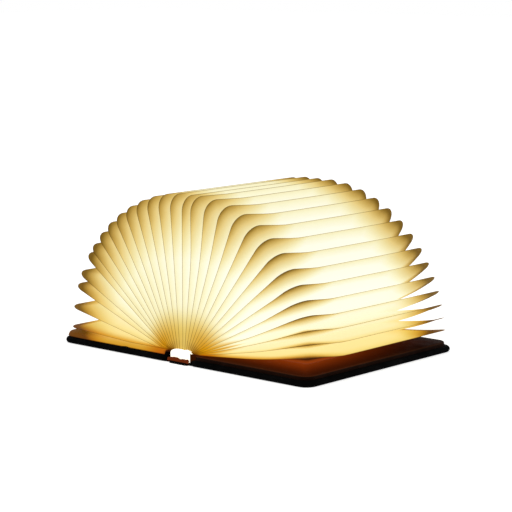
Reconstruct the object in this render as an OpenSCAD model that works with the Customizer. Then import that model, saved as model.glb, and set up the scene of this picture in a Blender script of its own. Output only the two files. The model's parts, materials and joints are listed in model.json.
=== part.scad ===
// Folding book lamp: two padded covers, a slim light bar on the spine and a fan of paper pages.
// X runs across the open covers, Y along the spine and Z up. The lamp lies opened flat on z = 0.
// Every page and each cover turn about one line on their own side of the spine, the pole.

/* [Covers] */
// Length of the covers, along the spine
cover_l = 212; // [190:1:240]
// From the middle of the spine out to the fore edge of an open cover
cover_w = 152; // [140:1:175]
// Thickness of a cover
cover_t = 5.5; // [4.5:0.1:7]
// Corner radius of a cover
cover_r = 12; // [8:0.5:18]
// Thickness of the stiff board inside a cover
board_t = 2.5; // [2:0.1:3.5]
// Width of the padded border around that board
board_border = 7; // [5:0.5:12]
// Thickness of the lining pad on the inside of a cover
liner_t = 4; // [2.5:0.1:5]
// Step from the edge of a cover in to the edge of its lining pad
liner_step = 4; // [2:0.5:7]
// Gap between the two covers when they are folded right back
back_gap = 0.8; // [0.4:0.1:2]

/* [Hinge gutters] */
// Thickness of the leather strips in the gutters
skin_t = 0.8; // [0.5:0.1:1.2]
// Gap between a swinging cover and the corner of the spine
swing_gap = 0.3; // [0.2:0.1:1]
// Step from the inner edge of a cover out to the inner edge of its lining pad
lining_step = 1; // [0.5:0.1:2]

/* [Pages] */
// Step from the fore edge of an open cover in to the edge of the pages
page_step = 1; // [1:0.1:6]
// Step from the ends of the covers in to the ends of the pages
page_margin = 7; // [5:0.5:12]
// Thickness of a page's bonded rim
page_t = 0.3; // [0.2:0.01:0.36]
// Thickness that each page takes up in the closed book
page_pitch = 0.49; // [0.44:0.01:0.6]
// Width of a page's bonded rim
rim_w = 8; // [5:0.5:12]
// Corner radius of a page
page_r = 10.5; // [9:0.5:16]
// From the pole out to the inner edge of the lowest pages
page_root = 9; // [8.5:0.5:24]
// Gap between the diffuser and the inner edge of the upright page
root_clear = 1.2; // [1:0.1:4]
// Depth of the folds between the pages, from the pages' edge
fold_depth = 33; // [24:1:40]
// Thickness of the folded paper, along the depth of a fold
fold_t = 1.2; // [0.9:0.1:1.5]
// Gap between the folded paper and the bonded rims
fold_gap = 0.3; // [0.2:0.05:0.5]
// How many degrees the middle pages of the right half sag
right_sag = 6.5; // [0:0.5:8]
// How many degrees the lowest pages of the left half sag
left_droop = 4.4; // [0:0.2:4.6]

/* [Light bar] */
// Width of the spine and of the light bar on it
bar_w = 22; // [21.5:0.1:24]
// Step from the ends of the covers in to the ends of the light bar
bar_inset = 6; // [4:0.5:12]
// Thickness of the spine board
spine_t = 2.4; // [2:0.1:3]
// Thickness of the tray's floor
tray_floor = 1; // [0.8:0.1:1.5]
// Wall thickness of the tray
tray_wall = 1; // [0.8:0.1:1.3]
// Height inside the tray, under the lamp board
tray_h = 4; // [4:0.1:4.6]
// Step from the edge of the tray's floor in to the diffuser
dome_step = 0.4; // [0.2:0.1:0.8]
// Wall thickness of the diffuser
dome_wall = 1; // [0.8:0.1:1.3]
// Height of the diffuser above the tray's floor
dome_h = 8.2; // [8.1:0.1:9]
// How far the diffuser's top bulges above its sides
dome_rise = 3.2; // [2.6:0.1:3.3]
// Gap between the tray's walls and the diffuser
dome_gap = 0.15; // [0.1:0.05:0.3]

/* [Lamp board] */
// Width of the lamp board
led_board_w = 17.6; // [17.4:0.1:17.8]
// Thickness of the lamp board
led_board_t = 0.8; // [0.6:0.1:1]
// Spacing of the light chips along the board
led_pitch = 12; // [8:0.5:16]
// Length of a light chip
led_l = 3.5; // [2:0.1:5]
// Width of a light chip
led_w = 2.8; // [2:0.1:3.5]
// Height of a light chip
led_h = 0.7; // [0.4:0.1:1]

/* [Battery] */
// Width of a battery pack
pack_w = 15.6; // [12:0.1:16]
// Length of a battery pack
pack_l = 62; // [50:1:64]
// Thickness of a battery pack
pack_t = 3.3; // [2.5:0.1:3.4]
// Thickness of the foam pad under the packs
pad_t = 0.3; // [0.2:0.1:0.4]
// Diameter of the battery leads
lead_d = 0.8; // [0.5:0.1:1]

/* [Control board] */
// Length of the control board
board_l = 30; // [26:1:32]
// Width of the control board
ctrl_w = 15; // [12:0.5:16]
// Thickness of the control board
ctrl_t = 0.6; // [0.4:0.1:0.8]
// Height of the ribs that carry the control board
rib_h = 0.4; // [0.3:0.1:0.6]
// Width of the charging inlet
port_w = 7.5; // [7:0.1:8]
// Height of the charging inlet
port_h = 2.4; // [2:0.1:2.5]
// Depth of the charging inlet
port_l = 6.5; // [5:0.1:8]
// Wall thickness of the charging inlet
port_wall = 0.3; // [0.2:0.05:0.4]
// Gap around the charging inlet where it passes the walls
port_gap = 0.15; // [0.1:0.05:0.3]

/* [Fasteners and magnets] */
// Diameter of the tray screws
screw_d = 2; // [1.6:0.1:2.4]
// Head diameter of the tray screws
screw_head_d = 3.8; // [3:0.1:4.4]
// Head height of the tray screws
screw_head_h = 0.9; // [0.6:0.1:1.2]
// Clearance around a screw in the tray's floor
screw_gap = 0.15; // [0.1:0.05:0.3]
// Clearance around a screw in the spine board
thread_gap = 0.05; // [0.03:0.01:0.1]
// Diameter of the cover magnets
magnet_d = 8; // [6:0.5:12]
// Thickness of the magnets
magnet_t = 1.5; // [1:0.1:1.6]
// From the edges of the lining pad in to the middle of a cover magnet
magnet_inset = 20; // [14:1:30]
// Diameter of the switch magnet
switch_d = 5; // [4:0.5:6]
// Clearance around boards and magnets in their pockets
fit_gap = 0.1; // [0.05:0.01:0.2]

/* [Hidden] */
side_pages = 15;
digits = 10;

RIGHT = 1;
LEFT = -1;
flush = 1; // how far a cut runs past the face that it opens
round_fn = 64;
small_fn = 32;
edge_fn = 16;

// The pole: covers and pages end upright and side by side in the closed book, and the covers'
// outer faces end back_gap apart when they are folded back.
liner_top = cover_t + liner_t;
stack_x = side_pages * page_pitch + page_t / 2;
pole_x = (stack_x + liner_top + back_gap / 2) / 2;
pole_z = (stack_x + liner_top - back_gap / 2) / 2;

// Inner edges of the covers and of their lining pads
spine_x = bar_w / 2;
cover_x = pole_x + norm([spine_x - pole_x, pole_z]) + swing_gap;
liner_x = cover_x + lining_step;
liner_r = cover_r - liner_step / 2;
liner_bevel = 1;

// Pages
page_reach = cover_w - page_step - pole_x;
page_l = cover_l - 2 * page_margin;
sag_power = 1.2; // above 1 the sag leans toward the lower pages
droop_power = 12; // how sharply the droop keeps to the lowest pages
crease_r = 3; // corner radius of the creases
crease_turn = 45; // step of a crease around its corner
crease_steps = 3; // steps of a crease along each end of the pages
crease_share = 0.06; // share of the space between two pages that a crease's edge keeps clear
root_gap = 2; // the folded paper starts this far out from the pages' inner edge

// Light bar
bar_l = cover_l - 2 * bar_inset;
floor_top = spine_t + tray_floor;
dome_x = spine_x - dome_step;
dome_y = bar_l / 2 - dome_step;
dome_top = floor_top + dome_h;
arch_r = (dome_x * dome_x + dome_rise * dome_rise) / (2 * dome_rise);
arch_z = dome_top - arch_r;
tray_x = dome_x - dome_wall - dome_gap;
tray_y = dome_y - dome_wall - dome_gap;
tray_top = floor_top + tray_h;
tray_in = tray_y - tray_wall;

// Places along the light bar: screws and packs take turns from the near end, as many as there is
// room for before the control board.
screw_room = 5.5; // from the end of the tray, or of a pack, to the middle of a screw
pack_gap = 6; // from the middle of a screw to the pack beyond it
pack_pitch = pack_l + pack_gap + screw_room;
ctrl_y = tray_in - fit_gap - board_l;
pack_count = max(1, floor((ctrl_y + tray_in - 2 * screw_room) / pack_pitch));
screw_y = [for (i = [0:pack_count]) -tray_in + screw_room + i * pack_pitch];
pack_y = [for (i = [0:pack_count - 1]) screw_y[i] + pack_gap];
screw_tip = 0.6; // board left under the tip of a screw
ctrl_top = floor_top + rib_h + ctrl_t;
port_y = dome_y - port_l;
lead_x = 5;
lead_lap = 3;

function page_name(i) = str("page_", i < digits ? "0" : "", i);

// Page i counts from 1 on the right to 2 * side_pages on the left; page side_pages stands upright.
function page_side(i) = i <= side_pages ? RIGHT : LEFT;
function page_place(i) = abs(side_pages - i);

// Lean from upright of place k, which runs from 0 upright to side_pages on the cover
function sag(k) = right_sag * sin(180 * pow(k / side_pages, sag_power));
function droop(k) = left_droop * sin(180 * pow(k / side_pages, droop_power));
function lean(k, side) = 90 * k / side_pages + (side == RIGHT ? sag(k) : droop(k));

// The same between two pages
function lean_at(u, side) = let (k = floor(u), part = u - k)
    part == 0 ? lean(k, side) : (1 - part) * lean(k, side) + part * lean(k + 1, side);

// Where the plane of place u lies from the pole
function page_offset(u) = u * page_pitch - pole_x;

// Point of the fan at place u, s out from the pole and y along the spine
function fan_point(u, s, y, side) =
    let (a = lean_at(u, side), o = page_offset(u))
    [pole_x + s * sin(a) + o * cos(a), y, pole_z + s * cos(a) - o * sin(a)];

// Where place u begins, out from the pole: close over the diffuser in the middle of the fan, and
// further out towards the covers
function root(u) = let (mid = dome_top + root_clear - pole_z)
    mid + (page_root - mid) * pow(u / side_pages, 2);

// Path of a crease that lies d in from the pages' edge, as [s, y]: from s = start out along the
// near end, round the near corner, and then round the far corner and back along the far end
function crease_path(d, start) =
    let (s = page_reach - d - crease_r, y = page_l / 2 - d - crease_r,
        run = [for (i = [0:crease_steps - 1]) [start + (s - start) * i / crease_steps, y + crease_r]],
        turn = [for (t = [0:crease_turn:90]) [s + crease_r * sin(t), y + crease_r * cos(t)]],
        half = concat(run, turn))
    concat([for (p = half) [p[0], -p[1]]], [for (i = [len(half) - 1:-1:0]) half[i]]);

module on_side(side) {
    mirror([side == LEFT ? 1 : 0, 0, 0]) children();
}

// Lays a flat shape, drawn as [s, y], in the plane of place k
module in_page(k, side) {
    on_side(side)
        translate([pole_x, 0, pole_z])
        rotate([0, lean(k, side) - 90, 0])
        translate([0, 0, -page_offset(k) - page_t / 2])
        linear_extrude(page_t)
        children();
}

module rounded_end(x0, x1, y, r, fn = round_fn) {
    translate([x0, -y])
        square([x1 - r - x0, 2 * y]);
    translate([x0, -y + r])
        square([x1 - x0, 2 * y - 2 * r]);
    for (s = [-1, 1])
        translate([x1 - r, s * (y - r)])
            circle(r, $fn = fn);
}

module rounded_bar(x, y, r) {
    translate([-x, -y + r])
        square([2 * x, 2 * y - 2 * r]);
    translate([-x + r, -y])
        square([2 * x - 2 * r, 2 * y]);
    for (s = [-1, 1], t = [-1, 1])
        translate([s * (x - r), t * (y - r)])
            circle(r, $fn = small_fn);
}

// Covers ---------------------------------------------------------------------------------------

pocket_x = [cover_x + board_border, cover_w - board_border];
pocket_y = cover_l / 2 - board_border;

module cover_blank() {
    hull() {
        for (s = [-1, 1]) {
            translate([cover_w - cover_r, s * (cover_l / 2 - cover_r), cover_t / 2])
                rotate_extrude($fn = small_fn)
                translate([cover_r - cover_t / 2, 0])
                circle(d = cover_t, $fn = edge_fn);
            translate([cover_x, s * (cover_l / 2 - cover_t / 2), cover_t / 2])
                rotate([0, 90, 0])
                cylinder(d = cover_t, h = flush, $fn = edge_fn);
        }
    }
}

module cover(side) {
    color([0.05, 0.05, 0.055])
        on_side(side)
        difference() {
            cover_blank();
            translate([pocket_x[0], -pocket_y, cover_t - board_t])
                cube([pocket_x[1] - pocket_x[0], 2 * pocket_y, board_t + flush]);
        }
}

function magnet_x() = cover_w - liner_step - magnet_inset;
function magnet_y() = cover_l / 2 - liner_step - magnet_inset;
function switch_x() = pocket_x[0] + switch_d;
function switch_y() = ctrl_y + board_l / 2;

module magnet_places() {
    for (s = [-1, 1])
        translate([magnet_x(), s * magnet_y(), 0])
            children();
}

module board(side) {
    color([0.55, 0.5, 0.42])
        on_side(side)
        difference() {
            translate([pocket_x[0] + fit_gap, -pocket_y + fit_gap, cover_t - board_t])
                cube([pocket_x[1] - pocket_x[0] - 2 * fit_gap, 2 * (pocket_y - fit_gap), board_t]);
            magnet_places()
                translate([0, 0, cover_t - magnet_t - fit_gap])
                cylinder(d = magnet_d + 2 * fit_gap, h = magnet_t + fit_gap + flush, $fn = small_fn);
            if (side == RIGHT)
                translate([switch_x(), switch_y(), cover_t - magnet_t - fit_gap])
                    cylinder(d = switch_d + 2 * fit_gap, h = magnet_t + fit_gap + flush,
                        $fn = small_fn);
        }
}

module magnets(side) {
    color("silver")
        on_side(side)
        magnet_places()
        translate([0, 0, cover_t - magnet_t - fit_gap])
        cylinder(d = magnet_d, h = magnet_t, $fn = small_fn);
}

module switch_magnet() {
    color("silver")
        translate([switch_x(), switch_y(), cover_t - magnet_t - fit_gap])
        cylinder(d = switch_d, h = magnet_t, $fn = small_fn);
}

module liner(side) {
    x1 = cover_w - liner_step;
    y = cover_l / 2 - liner_step;
    color([0.16, 0.07, 0.03])
        on_side(side)
        translate([0, 0, cover_t])
        hull() {
            linear_extrude(liner_t - liner_bevel)
                rounded_end(liner_x, x1, y, liner_r);
            linear_extrude(liner_t)
                rounded_end(liner_x, x1 - liner_bevel, y - liner_bevel, liner_r - liner_bevel);
        }
}

// Hinge gutters ----------------------------------------------------------------------------------

module hinge_skin(side) {
    color([0.06, 0.06, 0.06])
        on_side(side)
        translate([spine_x, -cover_l / 2 + cover_t / 2, 0])
        cube([cover_x - spine_x, cover_l - cover_t, skin_t]);
}

// The inner lining dips from the lining pad down to the foot of the light bar.
lining_steps = 8;
lining_side_gap = 0.05;
lining_drop = 0.9; // from the top of the lining pad down to the strip's upper edge

function lining_x(t) = spine_x + lining_side_gap
    + t * (liner_x - spine_x - 2 * lining_side_gap);
function lining_z(t) = let (z0 = floor_top, z1 = liner_top - lining_drop)
    z0 + (z1 - z0) * t * t * (3 - 2 * t);

module inner_lining(side) {
    color([0.2, 0.09, 0.04])
        on_side(side)
        rotate([90, 0, 0])
        translate([0, 0, -cover_l / 2 + liner_step])
        linear_extrude(cover_l - 2 * liner_step)
        polygon(concat(
            [for (i = [0:lining_steps]) [lining_x(i / lining_steps), lining_z(i / lining_steps)]],
            [for (i = [lining_steps:-1:0])
                [lining_x(i / lining_steps), lining_z(i / lining_steps) - skin_t]]));
}

// Pages ------------------------------------------------------------------------------------------

module page_rim(start) {
    difference() {
        rounded_end(start, page_reach, page_l / 2, page_r);
        translate([-flush, 0])
            rounded_end(start, page_reach - rim_w + flush, page_l / 2 - rim_w, crease_r, small_fn);
    }
}

module page(i) {
    color([1, 0.93, 0.7])
        in_page(page_place(i), page_side(i))
        page_rim(root(page_place(i)));
}

// One fold between places k and k + 1. Its section runs from one rim down to the crease and up to
// the next rim, and is given as [place, depth]. A half fold ends at the crease, on the lining pad.
function fold_section(k, half) =
    let (a = k + crease_share, b = k + 1 - crease_share, top = rim_w + fold_gap,
        far = half ? [b, fold_depth] : [b, top],
        mid = half ? [(a + b) / 2, (top + fold_depth) / 2] : [k + 0.5, fold_depth])
    [[a, top], mid, far, far + [0, fold_t], mid + [0, fold_t], [a, top + fold_t]];

module fold(k, side, half = false) {
    section = fold_section(k, half);
    corners = len(section);
    paths = [for (c = section) crease_path(c[1], root(k + 0.5) + root_gap)];
    stations = len(paths[0]);
    points = [for (i = [0:stations - 1], j = [0:corners - 1])
        fan_point(section[j][0], paths[j][i][0], paths[j][i][1], side)];
    cap = [[0, 1, 4], [0, 4, 5], [1, 2, 3], [1, 3, 4]];
    last = (stations - 1) * corners;
    outer = corners / 2; // the section's first corners face out, and its last ones face in
    faces = concat(
        [for (c = cap) [c[2], c[1], c[0]]],
        [for (c = cap) [last + c[0], last + c[1], last + c[2]]],
        [for (i = [0:stations - 2], j = [0:corners - 1]) each
            let (p = i * corners + j, q = i * corners + (j + 1) % corners)
            j < outer
                ? [[p, q, q + corners], [p, q + corners, p + corners]]
                : [[p, q, p + corners], [q, q + corners, p + corners]]]);
    on_side(side)
        polyhedron(points, faces);
}

module pleats(side) {
    color([1, 0.88, 0.6])
        for (k = [0:side_pages - 1])
            fold(k, side, half = side == RIGHT && k == side_pages - 1);
}

// Light bar --------------------------------------------------------------------------------------

module spine_board() {
    color([0.07, 0.06, 0.06])
        difference() {
            linear_extrude(spine_t)
                rounded_bar(spine_x, cover_l / 2, 2);
            for (y = screw_y)
                translate([0, y, screw_tip])
                    cylinder(r = screw_d / 2 + thread_gap, h = spine_t, $fn = small_fn);
        }
}

module port_cut(z0) {
    translate([-port_w / 2 - port_gap, 0, z0 - port_gap])
        cube([port_w + 2 * port_gap, cover_l, port_h + 2 * port_gap]);
}

module base_tray() {
    color([0.12, 0.12, 0.13])
        difference() {
            union() {
                translate([-spine_x, -bar_l / 2, spine_t])
                    cube([2 * spine_x, bar_l, tray_floor]);
                difference() {
                    translate([-tray_x, -tray_y, floor_top])
                        cube([2 * tray_x, 2 * tray_y, tray_h]);
                    translate([-tray_x + tray_wall, -tray_in, floor_top])
                        cube([2 * (tray_x - tray_wall), 2 * tray_in, tray_h + flush]);
                }
                for (y = [ctrl_y + lead_lap, ctrl_y + board_l - lead_lap])
                    translate([-ctrl_w / 2, y, floor_top])
                        cube([ctrl_w, tray_wall, rib_h]);
            }
            for (y = screw_y)
                translate([0, y, spine_t - flush])
                    cylinder(r = screw_d / 2 + screw_gap, h = tray_floor + 2 * flush,
                        $fn = small_fn);
            port_cut(ctrl_top);
        }
}

module arch(x, r) {
    intersection() {
        translate([0, arch_z])
            circle(r, $fn = round_fn);
        translate([-x, floor_top])
            square([2 * x, dome_h]);
    }
}

module diffuser() {
    color([1, 1, 0.95])
        difference() {
            translate([0, dome_y, 0])
                rotate([90, 0, 0])
                linear_extrude(2 * dome_y)
                arch(dome_x, arch_r);
            translate([0, dome_y - dome_wall, 0])
                rotate([90, 0, 0])
                linear_extrude(2 * (dome_y - dome_wall))
                arch(dome_x - dome_wall, arch_r - dome_wall);
            translate([-dome_x + dome_wall, -dome_y + dome_wall, floor_top - flush])
                cube([2 * (dome_x - dome_wall), 2 * (dome_y - dome_wall), 2 * flush]);
            port_cut(ctrl_top);
        }
}

led_end = 8; // lamp board left free beyond the last light chip
led_count = floor((2 * tray_y - 2 * led_end) / led_pitch);

module led_board() {
    color([0.92, 0.93, 0.9])
        translate([-led_board_w / 2, -tray_y, tray_top])
        cube([led_board_w, 2 * tray_y, led_board_t]);
}

module leds() {
    color([1, 0.85, 0.4])
        for (i = [0:led_count])
            translate([-led_w / 2, (i - led_count / 2) * led_pitch - led_l / 2,
                tray_top + led_board_t])
                cube([led_w, led_l, led_h]);
}

module battery_pad() {
    color([0.3, 0.3, 0.32])
        for (y = pack_y)
            translate([-pack_w / 2, y, floor_top])
                cube([pack_w, pack_l, pad_t]);
}

module battery_packs() {
    color([0.6, 0.62, 0.65])
        for (y = pack_y)
            translate([-pack_w / 2, y, floor_top + pad_t])
                cube([pack_w, pack_l, pack_t]);
}

// A pair of leads runs from each pack to the next one, and from the last pack onto the board.
module battery_leads() {
    lead_ends = concat([for (i = [1:1:pack_count - 1]) pack_y[i]], [ctrl_y + lead_lap]);
    color([0.7, 0.1, 0.1])
        for (x = [-lead_x, lead_x], i = [0:pack_count - 1])
            translate([x, pack_y[i] + pack_l, ctrl_top + lead_d / 2])
                rotate([-90, 0, 0])
                cylinder(d = lead_d, h = lead_ends[i] - pack_y[i] - pack_l, $fn = edge_fn);
}

module control_board() {
    color([0.05, 0.3, 0.15])
        translate([-ctrl_w / 2, ctrl_y, floor_top + rib_h])
        cube([ctrl_w, board_l, ctrl_t]);
}

pin_d = 0.6;
pin_x = 6;
pin_y = 8; // from the inner end of the control board

module led_leads() {
    color([0.8, 0.65, 0.2])
        for (x = [-pin_x, pin_x])
            translate([x, ctrl_y + pin_y, ctrl_top])
                cylinder(d = pin_d, h = tray_top - ctrl_top, $fn = edge_fn);
}

tongue_w = 5;
tongue_t = 0.6;

module usb_inlet() {
    color([0.75, 0.76, 0.78])
        translate([-port_w / 2, port_y, ctrl_top]) {
            difference() {
                cube([port_w, port_l, port_h]);
                translate([port_wall, port_wall, port_wall])
                    cube([port_w - 2 * port_wall, port_l, port_h - 2 * port_wall]);
            }
            translate([(port_w - tongue_w) / 2, port_wall, (port_h - tongue_t) / 2])
                cube([tongue_w, port_l / 2, tongue_t]);
        }
}

sensor = [4, 3, 1.1];
light = [1.6, 0.8, 0.6];
light_x = 5.6;

module hall_sensor() {
    color([0.1, 0.1, 0.1])
        translate([-sensor[0] / 2, ctrl_y + board_l / 2 - sensor[1] / 2, ctrl_top])
        cube(sensor);
}

module charge_light() {
    color([0.9, 0.3, 0.2])
        translate([light_x - light[0] / 2, ctrl_y + board_l - 2 * light[1], ctrl_top])
        cube(light);
}

module tray_screws() {
    color([0.7, 0.7, 0.72])
        for (y = screw_y)
            translate([0, y, 0]) {
                translate([0, 0, floor_top])
                    cylinder(d = screw_head_d, h = screw_head_h, $fn = small_fn);
                translate([0, 0, screw_tip])
                    cylinder(d = screw_d, h = floor_top - screw_tip, $fn = small_fn);
            }
}

cover(LEFT);  // left_cover
cover(RIGHT);  // right_cover
board(LEFT);  // left_board
board(RIGHT);  // right_board
liner(LEFT);  // left_liner
liner(RIGHT);  // right_liner
hinge_skin(LEFT);  // left_hinge_skin
hinge_skin(RIGHT);  // right_hinge_skin
inner_lining(LEFT);  // left_inner_lining
inner_lining(RIGHT);  // right_inner_lining
for (i = [1:2 * side_pages])
    page(i);
pleats(LEFT);  // pleats_left
pleats(RIGHT);  // pleats_right
spine_board();
base_tray();
diffuser();
led_board();
leds();
battery_packs();
battery_pad();
control_board();
usb_inlet();
hall_sensor();
charge_light();
battery_leads();
led_leads();
tray_screws();
magnets(LEFT);  // left_magnets
magnets(RIGHT);  // right_magnets
switch_magnet();
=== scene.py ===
import json
import math
import bpy
import numpy as np
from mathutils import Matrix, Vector, noise


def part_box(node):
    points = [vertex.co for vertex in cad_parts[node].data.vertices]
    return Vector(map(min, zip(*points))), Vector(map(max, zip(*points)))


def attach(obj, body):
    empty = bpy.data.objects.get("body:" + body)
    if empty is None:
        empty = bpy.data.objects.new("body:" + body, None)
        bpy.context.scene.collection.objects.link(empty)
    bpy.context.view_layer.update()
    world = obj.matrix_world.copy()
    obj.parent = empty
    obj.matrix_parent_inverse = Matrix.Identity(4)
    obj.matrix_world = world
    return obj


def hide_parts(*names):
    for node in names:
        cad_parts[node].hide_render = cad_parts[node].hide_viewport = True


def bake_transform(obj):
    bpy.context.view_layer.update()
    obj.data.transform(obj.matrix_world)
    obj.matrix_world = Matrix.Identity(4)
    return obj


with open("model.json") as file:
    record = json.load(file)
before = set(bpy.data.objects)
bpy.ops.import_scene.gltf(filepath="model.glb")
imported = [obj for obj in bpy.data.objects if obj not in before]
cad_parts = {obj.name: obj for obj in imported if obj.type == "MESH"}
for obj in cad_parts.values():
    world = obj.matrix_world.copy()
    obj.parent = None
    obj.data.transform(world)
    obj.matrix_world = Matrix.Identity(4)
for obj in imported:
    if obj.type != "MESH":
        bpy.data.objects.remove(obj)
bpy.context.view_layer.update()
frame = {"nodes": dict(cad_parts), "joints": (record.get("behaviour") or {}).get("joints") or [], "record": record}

# lengths are in metres, angles in degrees

# camera

view = {"azimuth": 41.37, "elevation": 11.66, "distance": 1.7883, "aimSide": 0.00027,
        "aimUp": 0.08455, "lens": 134.35, "sensor": 36.0}


def placeCamera():
    turn, tilt = math.radians(view["azimuth"]), math.radians(view["elevation"])
    back = Vector((math.sin(turn) * math.cos(tilt), -math.cos(turn) * math.cos(tilt),
                   math.sin(tilt)))
    side = Vector((math.cos(turn), math.sin(turn), 0))
    aim = side * view["aimSide"] + back.cross(side) * view["aimUp"]
    data = bpy.data.cameras.new("lampCamera")
    data.sensor_width = view["sensor"]
    data.lens = view["lens"]
    data.clip_start, data.clip_end = 0.05, 50
    camera = bpy.data.objects.new("lampCamera", data)
    bpy.context.scene.collection.objects.link(camera)
    camera.location = back * view["distance"]
    camera.rotation_euler = (aim - camera.location).to_track_quat("-Z", "Y").to_euler()
    bpy.context.scene.camera = camera


placeCamera()
bpy.context.scene.view_settings.view_transform = "Standard"
print("camera placed")

# sizes that the frame gives

hinge = {joint["name"]: joint for joint in frame["joints"]}["right_cover_hinge"]["pos_m"]
poleX, poleZ = hinge[0], hinge[2]
ratios = {row["joint"]: abs(row["ratio"]) for row in frame["record"]["behaviour"]["couplings"]}
pageCount = sum(name.startswith("page_") for name in frame["nodes"])
lastPlace = pageCount // 2


def pageName(number):
    return "page_%02d" % number


def pageNumber(place, side):
    return lastPlace - place if side > 0 else lastPlace + place


def leanTable(side):                              # share of a cover's quarter turn, by place
    shares = [0.0]
    for place in range(1, lastPlace):
        shares.append(ratios[pageName(pageNumber(place, side)) + "_hinge"])
    return shares + [1.0]


leanShares = {1: leanTable(1), -1: leanTable(-1)}
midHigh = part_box(pageName(lastPlace))[1]
flatLow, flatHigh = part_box(pageName(pageCount))
reach = midHigh[2] - poleZ
halfLength = midHigh[1]
paperThick = flatHigh[2] - flatLow[2]
pagePitch = (poleZ + poleX - (flatLow[2] + flatHigh[2]) / 2) / lastPlace

# shader helpers


def addNode(tree, kind, values=None, **settings):
    node = tree.nodes.new(kind)
    for key, value in settings.items():
        setattr(node, key, value)
    for key, value in (values or {}).items():
        if isinstance(value, bpy.types.NodeSocket):
            tree.links.new(value, node.inputs[key])
        else:
            node.inputs[key].default_value = value
    return node


def newGroup(name, inputs, outputs):
    tree = bpy.data.node_groups.new(name, "ShaderNodeTree")
    for label, value in inputs.items():
        socket = tree.interface.new_socket(label, in_out="INPUT", socket_type="NodeSocketFloat")
        socket.default_value = value
    for label in outputs:
        tree.interface.new_socket(label, in_out="OUTPUT", socket_type="NodeSocketFloat")
    return tree, tree.nodes.new("NodeGroupInput").outputs, tree.nodes.new("NodeGroupOutput")


def math2(tree, operation, a, b=0.0):
    return addNode(tree, "ShaderNodeMath", {0: a, 1: b}, operation=operation).outputs[0]


def times(tree, a, b):
    return math2(tree, "MULTIPLY", a, b)


def plus(tree, a, b):
    return math2(tree, "ADD", a, b)


def rangeOf(tree, value, low, high, toLow=0.0, toHigh=1.0, smooth=True):
    return addNode(tree, "ShaderNodeMapRange",
                   {"Value": value, "From Min": low, "From Max": high, "To Min": toLow,
                    "To Max": toHigh},
                   interpolation_type="SMOOTHSTEP" if smooth else "LINEAR").outputs[0]


def rampOf(tree, value, stops):
    node = addNode(tree, "ShaderNodeValToRGB", {"Fac": value})
    ramp = node.color_ramp
    while len(ramp.elements) < len(stops):
        ramp.elements.new(0.5)
    for element, (place, colour) in zip(ramp.elements, stops):
        element.position = place
        element.color = (*colour, 1)
    return node.outputs["Color"]


def mixColour(tree, factor, a, b, blend="MIX"):
    node = addNode(tree, "ShaderNodeMix", data_type="RGBA", blend_type=blend)
    for index, value in ((0, factor), (6, a), (7, b)):
        if isinstance(value, bpy.types.NodeSocket):
            tree.links.new(value, node.inputs[index])
        else:
            node.inputs[index].default_value = value if index == 0 else (*value, 1)
    return node.outputs[2]


def attributeOf(tree, name):
    return addNode(tree, "ShaderNodeAttribute", attribute_name=name).outputs["Fac"]


def objectPoint(tree):
    return addNode(tree, "ShaderNodeTexCoord").outputs["Object"]


def newMaterial(name):
    material = bpy.data.materials.new(name)
    material.use_nodes = True
    tree = material.node_tree
    return material, tree, tree.nodes["Principled BSDF"]


def wire(tree, shader, **links):
    names = {"colour": "Base Color", "rough": "Roughness", "normal": "Normal",
             "glow": "Emission Color", "metal": "Metallic"}
    for key, value in links.items():
        tree.links.new(value, shader.inputs[names[key]])


def bumpFrom(tree, height, distance, strength=1.0):
    return addNode(tree, "ShaderNodeBump",
                   {"Height": height, "Distance": distance, "Strength": strength}).outputs[0]


# shared surface effects


def buildLeatherGrain():                          # pebbled cells with creases between them
    tree, given, out = newGroup("leatherGrain", {"Scale": 900.0, "Crease": 0.5},
                                ("Height", "Tone"))
    point = objectPoint(tree)
    cells = addNode(tree, "ShaderNodeTexVoronoi", {"Vector": point, "Scale": given["Scale"]},
                    feature="DISTANCE_TO_EDGE").outputs["Distance"]
    cell = rangeOf(tree, cells, 0.0, 0.25)
    broad = addNode(tree, "ShaderNodeTexNoise",
                    {"Vector": point, "Scale": 70.0, "Detail": 4.0}).outputs["Fac"]
    crease = times(tree, broad, given["Crease"])
    height = plus(tree, cell, crease)
    fine = addNode(tree, "ShaderNodeTexNoise",
                   {"Vector": point, "Scale": 2400.0, "Detail": 2.0}).outputs["Fac"]
    tone = plus(tree, times(tree, broad, 0.7),
                 times(tree, fine, 0.3))
    tree.links.new(height, out.inputs["Height"])
    tree.links.new(tone, out.inputs["Tone"])
    return tree


def buildFibreGrain():                            # short fibres, as in paper, board and foam
    tree, given, out = newGroup("fibreGrain", {"Scale": 500.0, "Stretch": 3.0},
                                ("Height", "Tone"))
    point = objectPoint(tree)
    stretch = addNode(tree, "ShaderNodeCombineXYZ", {"X": given["Stretch"], "Y": 1.0, "Z": 1.6})
    along = addNode(tree, "ShaderNodeVectorMath", {0: point, 1: stretch.outputs[0]},
                    operation="MULTIPLY").outputs[0]
    fibre = addNode(tree, "ShaderNodeTexNoise",
                    {"Vector": along, "Scale": given["Scale"], "Detail": 5.0,
                     "Roughness": 0.65, "Distortion": 0.8}).outputs["Fac"]
    cloud = addNode(tree, "ShaderNodeTexNoise",
                    {"Vector": point, "Scale": 45.0, "Detail": 3.0}).outputs["Fac"]
    tone = plus(tree, times(tree, fibre, 0.5),
                 times(tree, cloud, 0.5))
    tree.links.new(fibre, out.inputs["Height"])
    tree.links.new(tone, out.inputs["Tone"])
    return tree


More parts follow.
